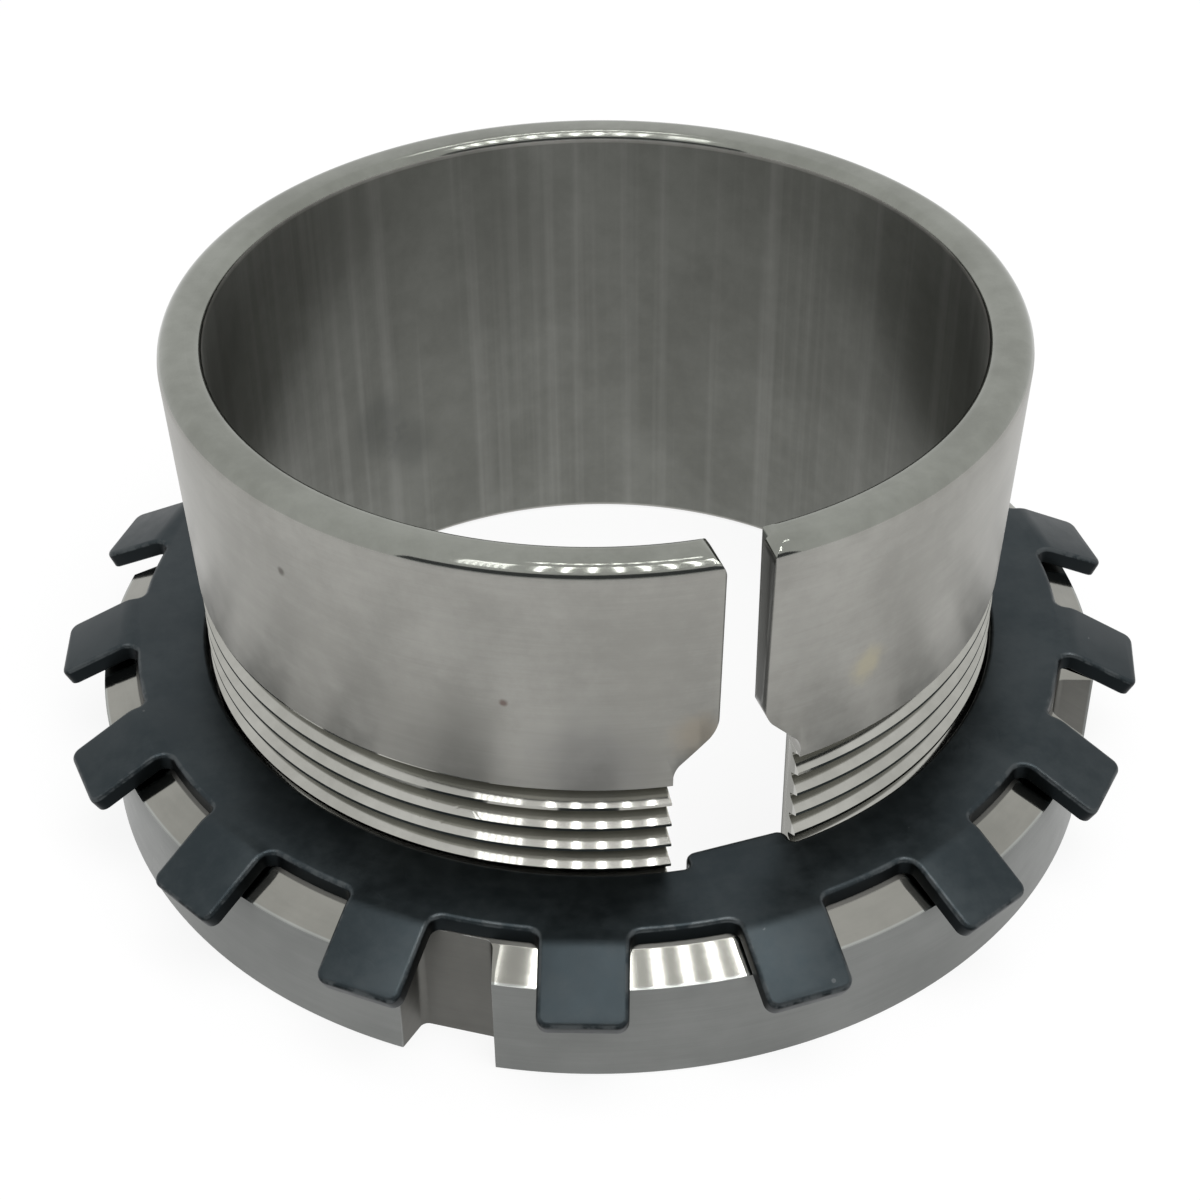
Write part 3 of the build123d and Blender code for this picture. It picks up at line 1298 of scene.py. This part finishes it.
@dataclass
class LockWasher:
    """The stamped washer, built tooth by tooth from one flat sector each."""

    finish: SteelFinish
    effects: SurfaceEffects
    height: float = 10.4
    thickness: float = 1.5
    bore_radius: float = 32.72
    rim_radius: float = 38.5
    tip_radius: float = 45.0
    tooth_count: int = 17
    tooth_width: float = 6.55
    tooth_round: float = 0.85
    notch_round: float = 0.8
    bend_start: float = 39.0
    bend_angle: float = 27.5
    bend_radius: float = 0.8
    tab_width: float = 8.0
    tab_end: float = 31.0
    tab_round: float = 0.8
    tab_root_round: float = 0.5
    tab_turn: float = 0.9
    tooth_turn: float = 1.7
    top_roll: float = 0.4
    bottom_roll: float = 0.1
    arc_step: float = 1.5
    bend_rows: int = 4
    tooth_rows: tuple[float, ...] = (0.3, 0.6)
    corner_steps: int = 6
    notch_steps: int = 5
    tab_root_steps: int = 4
    roll_steps: tuple[int, int] = (4, 1)
    wall_tilt: float = 0.5
    roll_angle: float = 60.0
    seam_reach: float = 0.05

    def bend_length(self) -> float:
        """The length of sheet in the bend, along its middle."""
        return math.radians(self.bend_angle) * (self.bend_radius + self.thickness / 2)

    def flat_tip(self) -> float:
        """Where the tooth's tip lies before it is bent.

        Returns:
            Its distance from the axis.
        """
        bend = math.radians(self.bend_angle)
        bent = self.bend_start + (self.bend_radius + self.thickness) * math.sin(bend)
        return self.bend_start + self.bend_length() + (self.tip_radius - bent) / math.cos(bend)

    def sector(self, with_tab: bool) -> BMesh:
        """One flat sector with its tooth along the slit's side.

        Args:
            with_tab: Whether the inner tab belongs to this sector.

        Returns:
            The sector as one face, its corners rounded.
        """
        half_sector = 180 / self.tooth_count
        half_tooth = math.degrees(math.asin(self.tooth_width / 2 / self.rim_radius))
        half_tab = math.degrees(math.asin(self.tab_width / 2 / self.bore_radius))
        tab_at = self.tab_turn - self.tooth_turn
        stops = {-half_sector, -half_tooth, half_tooth, half_sector}
        if with_tab:
            stops |= {tab_at - half_tab, tab_at + half_tab}
        bm = bmesh.new()
        ordered = sorted(stops)
        start = math.radians(ordered[0])
        last = add_chain(
            bm, [at_turn(self.bore_radius, 0, start), at_turn(self.rim_radius, 0, start)]
        )
        for a, b in zip(ordered, ordered[1:]):
            made = bmesh.ops.spin(
                bm,
                geom=last,
                cent=(0, 0, 0),
                axis=(0, 0, 1),
                dvec=(0, 0, 0),
                angle=math.radians(b - a),
                steps=max(1, math.ceil((b - a) / self.arc_step)),
                use_merge=False,
                use_normal_flip=False,
                use_duplicate=False,
            )
            last = made["geom_last"]
        self.pull_edge(bm, 0.0, half_tooth, self.rim_radius, self.flat_tip(), self.tooth_width / 2)
        if with_tab:
            self.pull_edge(bm, tab_at, half_tab, self.bore_radius, self.tab_end, self.tab_width / 2)
        bmesh.ops.remove_doubles(bm, verts=bm.verts, dist=SAME_PLACE)
        bmesh.ops.dissolve_faces(bm, faces=list(bm.faces), use_verts=False)
        self.drop_straight_verts(bm)
        root = at_turn(self.rim_radius, 0, math.radians(half_tooth))
        for side in (-1, 1):
            tip = Vector((side * self.tooth_width / 2, -self.flat_tip(), 0))
            round_corner(bm, tip, self.tooth_round, self.corner_steps)
            foot = Vector((side * root.x, root.y, 0))
            round_corner(bm, foot, self.notch_round, self.notch_steps)
        if with_tab:
            lean = Matrix.Rotation(math.radians(tab_at), 3, "Z")
            deep = math.sqrt(self.bore_radius**2 - (self.tab_width / 2) ** 2)
            for side in (-1, 1):
                end = lean @ Vector((side * self.tab_width / 2, -self.tab_end, 0))
                round_corner(bm, end, self.tab_round, self.corner_steps)
                foot = lean @ Vector((side * self.tab_width / 2, -deep, 0))
                round_corner(bm, foot, self.tab_root_round, self.tab_root_steps)
        return bm

    @staticmethod
    def pull_edge(
        bm: BMesh, at: float, half: float, radius: float, reach: float, half_width: float
    ) -> None:
        """Pulls a part of a round edge out to a straight end, as a tooth or the tab.

        Args:
            bm: The sector.
            at: The turn of the middle, in degrees.
            half: Half the turn that the part takes, in degrees.
            radius: The radius of the round edge.
            reach: How far from the axis the straight end is.
            half_width: Half the width of the tooth or tab.
        """
        lean = Matrix.Rotation(math.radians(at), 3, "Z")
        back = lean.inverted()
        span = radius * math.sin(math.radians(half)) + 1e-3
        edges = []
        for edge in bm.edges:
            ends = [back @ v.co for v in edge.verts]
            on_edge = all(abs(e.length - radius) < 1e-3 and abs(e.x) < span for e in ends)
            if on_edge and edge.is_boundary:
                edges.append(edge)
        made = bmesh.ops.extrude_edge_only(bm, edges=edges)
        for vert in new_verts(made):
            local = back @ vert.co
            vert.co = lean @ Vector((max(-half_width, min(half_width, local.x)), -reach, 0))

    @staticmethod
    def drop_straight_verts(bm: BMesh) -> None:
        """Removes vertices that lie in the middle of a straight side.

        Args:
            bm: The flat sector.
        """
        straight = []
        for vert in bm.verts:
            if len(vert.link_edges) == 2:
                a, b = (e.other_vert(vert).co - vert.co for e in vert.link_edges)
                if a.angle(b) > STRAIGHT:
                    straight.append(vert)
        bmesh.ops.dissolve_verts(bm, verts=straight)

    def thicken(self, bm: BMesh) -> None:
        """Gives the flat sector its thickness, and rolls the edges of its outline.

        Args:
            bm: The flat sector.
        """
        half_sector = math.pi / self.tooth_count
        made = bmesh.ops.extrude_face_region(bm, geom=list(bm.faces))
        bmesh.ops.translate(bm, verts=new_verts(made), vec=(0, 0, self.thickness))
        joins = []
        for face in bm.faces:
            middle = face.calc_center_median()
            turn = abs(math.atan2(middle.x, -middle.y))
            upright = abs(face.normal.z) < self.wall_tilt
            if upright and abs(turn - half_sector) < SAME_PLACE:
                joins.append(face)
        bmesh.ops.delete(bm, geom=joins, context="FACES_ONLY")
        bmesh.ops.recalc_face_normals(bm, faces=bm.faces)
        top_steps, bottom_steps = self.roll_steps
        sides = (
            (self.thickness, self.top_roll, top_steps),
            (0.0, self.bottom_roll, bottom_steps),
        )
        for level, roll, steps in sides:
            rim = [
                e
                for e in bm.edges
                if e.is_manifold
                and all(abs(v.co.z - level) < SAME_PLACE for v in e.verts)
                and e.calc_face_angle() > math.radians(self.roll_angle)
            ]
            round_edges(bm, rim, roll, steps, clamp=False)

    def bend(self, bm: BMesh) -> None:
        """Bends the tooth down over the nut's bevel.

        Args:
            bm: The sector with its thickness.
        """
        start = self.bend_start
        length = self.bend_length()
        rows = [start + length * i / self.bend_rows for i in range(self.bend_rows + 1)]
        beyond = self.flat_tip() - start - length
        rows += [start + length + beyond * share for share in self.tooth_rows]
        for row in rows:
            bmesh.ops.bisect_plane(
                bm,
                geom=[*bm.verts, *bm.edges, *bm.faces],
                dist=SAME_PLACE,
                plane_co=(0, -row, 0),
                plane_no=(0, -1, 0),
            )
        angle = math.radians(self.bend_angle)
        for vert in bm.verts:
            along = -vert.co.y - start
            if along <= 0:
                continue
            turned = min(along / length, 1.0) * angle
            rest = max(along - length, 0.0)
            arm = self.bend_radius + vert.co.z
            out = start + arm * math.sin(turned) + rest * math.cos(turned)
            down = -self.bend_radius + arm * math.cos(turned) - rest * math.sin(turned)
            vert.co.y, vert.co.z = -out, down

    def build(self) -> Object:
        """Builds the washer.

        Returns:
            The dressed piece.
        """
        whole = bmesh.new()
        for index in range(self.tooth_count):
            bm = self.sector(with_tab=index == 0)
            self.thicken(bm)
            self.bend(bm)
            turn = math.radians(self.tooth_turn + index * 360 / self.tooth_count)
            bmesh.ops.rotate(
                bm, cent=(0, 0, 0), matrix=Matrix.Rotation(turn, 3, "Z"), verts=bm.verts
            )
            add_mesh(whole, bm)
        bmesh.ops.remove_doubles(whole, verts=whole.verts, dist=2e-3)
        seam = [v for v in whole.verts if v.is_boundary]
        bmesh.ops.remove_doubles(whole, verts=seam, dist=self.seam_reach)
        bmesh.ops.recalc_face_normals(whole, faces=whole.faces)
        bmesh.ops.translate(whole, verts=whole.verts, vec=(0, 0, self.height))
        look = self.finish.material(self.effects)
        return finish_piece("steel_washer", whole, look, Body.WASHER, "lock_washer")


# The studio


@dataclass(frozen=True)
class LampRow:
    """A row of lamp tubes side by side, which fan out towards the camera.

    Places and sizes are in metres. The tubes lie from near to far, a gap apart, and are
    counted from the first to the last. The glow is in watts per square metre.
    """

    name: str
    near: float
    far: float
    gap: float
    first: int
    last: int
    width: float
    glow: float
    fan: float
    shift: float = 0.0


@dataclass
class Studio:
    """Camera, pale floor, soft light and the rows of lamp tubes over the object."""

    focal_px: float = 2253.6
    photo_px: float = 1200.0
    elevation: float = 37.906
    distance: float = 190.291
    roll: float = -0.010
    aim_height: float = 11.72
    aim_side: float = 0.148
    azimuth: float = -17.7
    lamp_height: float = 0.52
    lamp_rows: tuple[LampRow, ...] = (
        LampRow("front", -0.33, 0.0, 0.0365, -2, 7, width=0.007, glow=44.0, fan=2.18, shift=-0.007),
        LampRow("cluster", -0.33, 0.0, 0.0118, -17, -11, width=0.004, glow=18.0, fan=2.18),
        LampRow("back", 0.19, 0.26, 0.0127, -3, 8, width=0.003, glow=44.0, fan=3.45),
    )
    soft_place: tuple[float, float, float] = (0.25, -0.35, 0.75)
    soft_size: float = 0.5
    soft_power: float = 2.2
    card_width: float = 0.9
    card_low: float = 0.16
    card_high: float = 0.40
    card_near: float = -0.42
    card_glow: float = 0.12
    card_colour: Colour = (0.9, 0.95, 1, 1)
    floor_size: float = 6.0
    floor_colour: Colour = (0.9, 0.9, 0.9, 1)
    floor_glow: float = 0.86
    world_light: float = 0.75
    white: Colour = (1, 1, 1, 1)
    clip_range: tuple[float, float] = (0.01, 20.0)
    sensor_mm: float = 36.0

    def around(self, point: Vector) -> Vector:
        """Turns a point that is given as seen from the camera's side into the part's frame."""
        return self.turn() @ point

    def turn(self) -> Matrix:
        """The turn about the axis that the camera's side has in the part's frame."""
        return Matrix.Rotation(math.radians(self.azimuth), 3, "Z")

    def camera(self) -> None:
        """Adds the camera that has the photograph's view."""
        tilt = math.radians(self.elevation)
        right = Vector((1, 0, 0))
        ahead = Vector((0, math.cos(tilt), -math.sin(tilt)))
        above = right.cross(ahead)
        place = Vector((self.aim_side, 0, self.aim_height)) - ahead * self.distance
        c, s = math.cos(self.roll), math.sin(self.roll)
        right, above = right * c + above * s, above * c - right * s
        axes = [self.around(v) for v in (right, above, -ahead)]
        data = bpy.data.cameras.new("camera")
        data.sensor_width = self.sensor_mm
        data.lens = self.focal_px / self.photo_px * data.sensor_width
        data.clip_start, data.clip_end = self.clip_range
        view = bpy.data.objects.new("camera", data)
        spot = self.around(place) * MM
        turned = Matrix(axes).transposed().to_4x4()
        view.matrix_world = Matrix.Translation(spot) @ turned
        bpy.context.scene.collection.objects.link(view)
        bpy.context.scene.camera = view

    def floor(self) -> None:
        """Adds the pale floor, which keeps the object's soft shadow."""
        bm = bmesh.new()
        bmesh.ops.create_grid(bm, x_segments=1, y_segments=1, size=self.floor_size)
        ground = as_object("floor", bm)
        made, graph = new_material("pale_floor")
        paint = graph.node("ShaderNodeBsdfDiffuse", {"Color": self.floor_colour})
        glow = graph.node("ShaderNodeEmission", {"Color": self.white, "Strength": 1.0})
        part = graph.math("MULTIPLY", self.seen_directly(graph), self.floor_glow)
        both = graph.node("ShaderNodeMixShader", {0: part, 1: paint.outputs[0], 2: glow.outputs[0]})
        graph.node("ShaderNodeOutputMaterial", {0: both.outputs[0]})
        ground.data.materials.append(made)

    @staticmethod
    def seen_directly(graph: Graph) -> NodeSocket:
        """Tells rays that show things from rays that only light them.

        Args:
            graph: The graph of a material or the world.

        Returns:
            One for camera, glossy and transmission rays, zero for the rest.
        """
        path = graph.node("ShaderNodeLightPath")
        seen = graph.math("MAXIMUM", path.outputs["Is Camera Ray"], path.outputs["Is Glossy Ray"])
        return graph.math("MAXIMUM", seen, path.outputs["Is Transmission Ray"])

    def world(self) -> None:
        """Lights the scene softly from all sides, with white behind the object."""
        world = bpy.data.worlds.new("studio")
        world.use_nodes = True
        world.node_tree.nodes.clear()
        graph = Graph(world.node_tree)
        seen = self.seen_directly(graph)
        strength = graph.mix_numbers(seen, self.world_light, 1.0)
        glow = graph.node("ShaderNodeBackground", {"Color": self.white, "Strength": strength})
        graph.node("ShaderNodeOutputWorld", {0: glow.outputs[0]})
        bpy.context.scene.world = world

    def lamps(self) -> None:
        """Adds the rows of lamp tubes and a soft lamp."""
        for row in self.lamp_rows:
            depth = row.far - row.near
            for index in range(row.first, row.last + 1):
                aside = index * row.gap + row.shift
                spot = Vector((aside, (row.near + row.far) / 2, self.lamp_height))
                power = row.glow * row.width * depth
                tube = self.lamp(f"{row.name}_{index}", spot, (row.width, depth), power)
                tube.rotation_euler.z += math.atan(row.fan * aside)
        size = (self.soft_size, self.soft_size)
        soft = self.lamp("soft_lamp", Vector(self.soft_place), size, self.soft_power)
        soft.rotation_euler = (-soft.location).to_track_quat("-Z", "Y").to_euler()
        soft.visible_glossy = False

    def dark_card(self) -> None:
        """Adds the dark side of the room behind the camera, which only bare steel shows."""
        bm = bmesh.new()
        side, low, high = self.card_width / 2, self.card_low, self.card_high
        corners = ((-side, low), (side, low), (side, high), (-side, high))
        bm.faces.new([bm.verts.new((x, self.card_near, z)) for x, z in corners])
        bmesh.ops.rotate(bm, cent=(0, 0, 0), matrix=self.turn(), verts=bm.verts)
        card = as_object("dark_card", bm)
        made, graph = new_material("dark_card")
        light = {"Color": self.card_colour, "Strength": self.card_glow}
        glow = graph.node("ShaderNodeEmission", light)
        graph.node("ShaderNodeOutputMaterial", {0: glow.outputs[0]})
        card.data.materials.append(made)
        card.visible_camera = False
        card.visible_diffuse = False
        card.visible_shadow = False

    def lamp(
        self, name: str, spot: Vector, size: tuple[float, float], power: float
    ) -> Object:
        """Adds a flat lamp that looks straight down.

        Args:
            name: The lamp's name.
            spot: Where it hangs, as seen from the camera's side, in metres.
            size: Its width and its depth, in metres.
            power: Its power in watts.

        Returns:
            The lamp.
        """
        data = bpy.data.lights.new(name, "AREA")
        data.shape = "RECTANGLE"
        data.size, data.size_y = size
        data.energy = power
        made = bpy.data.objects.new(name, data)
        made.location = self.around(spot)
        made.rotation_euler = (0, 0, math.radians(self.azimuth))
        bpy.context.scene.collection.objects.link(made)
        return made

    def build(self) -> None:
        """Builds the whole studio."""
        self.camera()
        self.floor()
        self.world()
        self.lamps()
        self.dark_card()
        bpy.context.scene.view_settings.view_transform = "Standard"


# The looks of the three pieces

RIM_TONE = (0.74, 0.775, 0.75)
# Painted shade on the slit's walls and bevels
SLIT_SHADE = (0.4, 0.41, 0.41)

GROUND = SteelFinish(
    name="ground_steel",
    light=(0.38, 0.375, 0.35, 1),
    dark=(0.285, 0.281, 0.26, 1),
    lines_per_mm=7.0,
    line_depth=0.0014,
    roughness=0.36,
    rough_swing=0.12,
    brushed=0.8,
    line_tone=0.12,
    grain=0.35,
    speck=0.0,
    zones=(
        # The rim's outer side, then its inner side
        Zone(39.3, 41.0, 31.2, FAR, roughness=0.085, tone=RIM_TONE, plain=0.85),
        Zone(39.4, 41.0, 0.0, 31.2, roughness=0.12, tone=RIM_TONE, plain=0.85),
        # The thread, then its grooves, which are darkened as painted shade
        Zone(-1.0, 20.0, 30.6, FAR, roughness=0.085, tone=(1.2, 1.21, 1.2), plain=0.75),
        Zone(-1.0, 20.0, 30.6, 31.85, roughness=0.2, tone=(0.5, 0.5, 0.48)),
        # The bore, darkened as painted shade, with light streaks of painted reflection
        Zone(0.5, 39.1, 0.0, 30.2, roughness=0.4, tone=(0.57, 0.59, 0.58), streaks=0.25, plain=0.9),
        # The slit's walls, then their bevels along the bore, darkened as painted shade
        Zone(22.0, 39.6, 31.2, 40.0, roughness=0.5, tone=SLIT_SHADE, half_width=1.78, behind=-20.0),
        Zone(22.0, 39.6, 29.0, 31.2, roughness=0.5, tone=SLIT_SHADE, half_width=2.6, behind=-20.0),
    ),
    stains_and_shade=(
        StainAndShade((-3.4, -32.7, 24.8), 2.2, (0.36, 0.31, 0.24, 1), 0.5),
        StainAndShade((10.0, -31.35, 26.6), 1.7, (0.44, 0.40, 0.28, 1), 0.6),
        StainAndShade((-16.1, -28.8, 28.0), 0.35, (0.12, 0.07, 0.06, 1), 0.7),
        StainAndShade((-28.6, -17.0, 33.9), 0.4, (0.10, 0.09, 0.08, 1), 0.8),
        StainAndShade((-12.0, 27.5, 14.7), 3.6, (0.09, 0.095, 0.09, 1), 0.4),
        StainAndShade((-9.1, 28.6, 11.2), 3.0, (0.09, 0.095, 0.09, 1), 0.35),
        # Painted shade, darker low on the taper's front just above the washer
        StainAndShade((-19.6, -26.2, 21.6), 5.0, (0.16, 0.16, 0.15, 1), 0.35),
        StainAndShade((-10.6, -30.9, 22.2), 5.0, (0.17, 0.17, 0.175, 1), 0.3),
    ),
)
TURNED = SteelFinish(
    name="turned_steel",
    light=(0.22, 0.226, 0.219, 1),
    dark=(0.172, 0.178, 0.172, 1),
    lines_per_mm=6.0,
    line_depth=0.003,
    roughness=0.34,
    rough_swing=0.12,
    brushed=0.8,
    line_tone=0.2,
    grain=0.2,
    speck=0.0,
    zones=(
        # The slots, then the bevel, which is brightened as a painted highlight
        Zone(-1.0, 11.0, 38.0, 41.3, roughness=0.5, tone=(0.76, 0.73, 0.7), plain=0.3),
        Zone(8.97, 11.0, 38.75, FAR, roughness=0.09, tone=(1.8, 1.8, 1.76)),
    ),
)
BLACKENED = SteelFinish(
    name="blackened_steel",
    light=(0.046, 0.055, 0.059, 1),
    dark=(0.03, 0.038, 0.042, 1),
    lines_per_mm=1.5,
    line_depth=0.002,
    roughness=0.42,
    rough_swing=0.25,
    line_tone=0.1,
    grain=0.6,
    # Painted shade on the upright walls
    side_shade_tone=0.35,
    speck=0.08,
    edge_colour=(0.07, 0.078, 0.081, 1),
    edge_wear=(0.1, 1.3),
    edge_rough=0.35,
)


def main() -> None:
    """Builds the pieces and the studio around the frame."""
    logging.basicConfig(level=logging.INFO, format="%(name)s: %(message)s")
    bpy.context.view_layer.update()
    effects = SurfaceEffects()
    thread = ThreadForm()
    Studio().build()
    AdapterSleeve(GROUND, effects, thread).build()
    LockNut(TURNED, effects, thread).build()
    LockWasher(BLACKENED, effects).build()


if __name__ == "__main__":
    main()
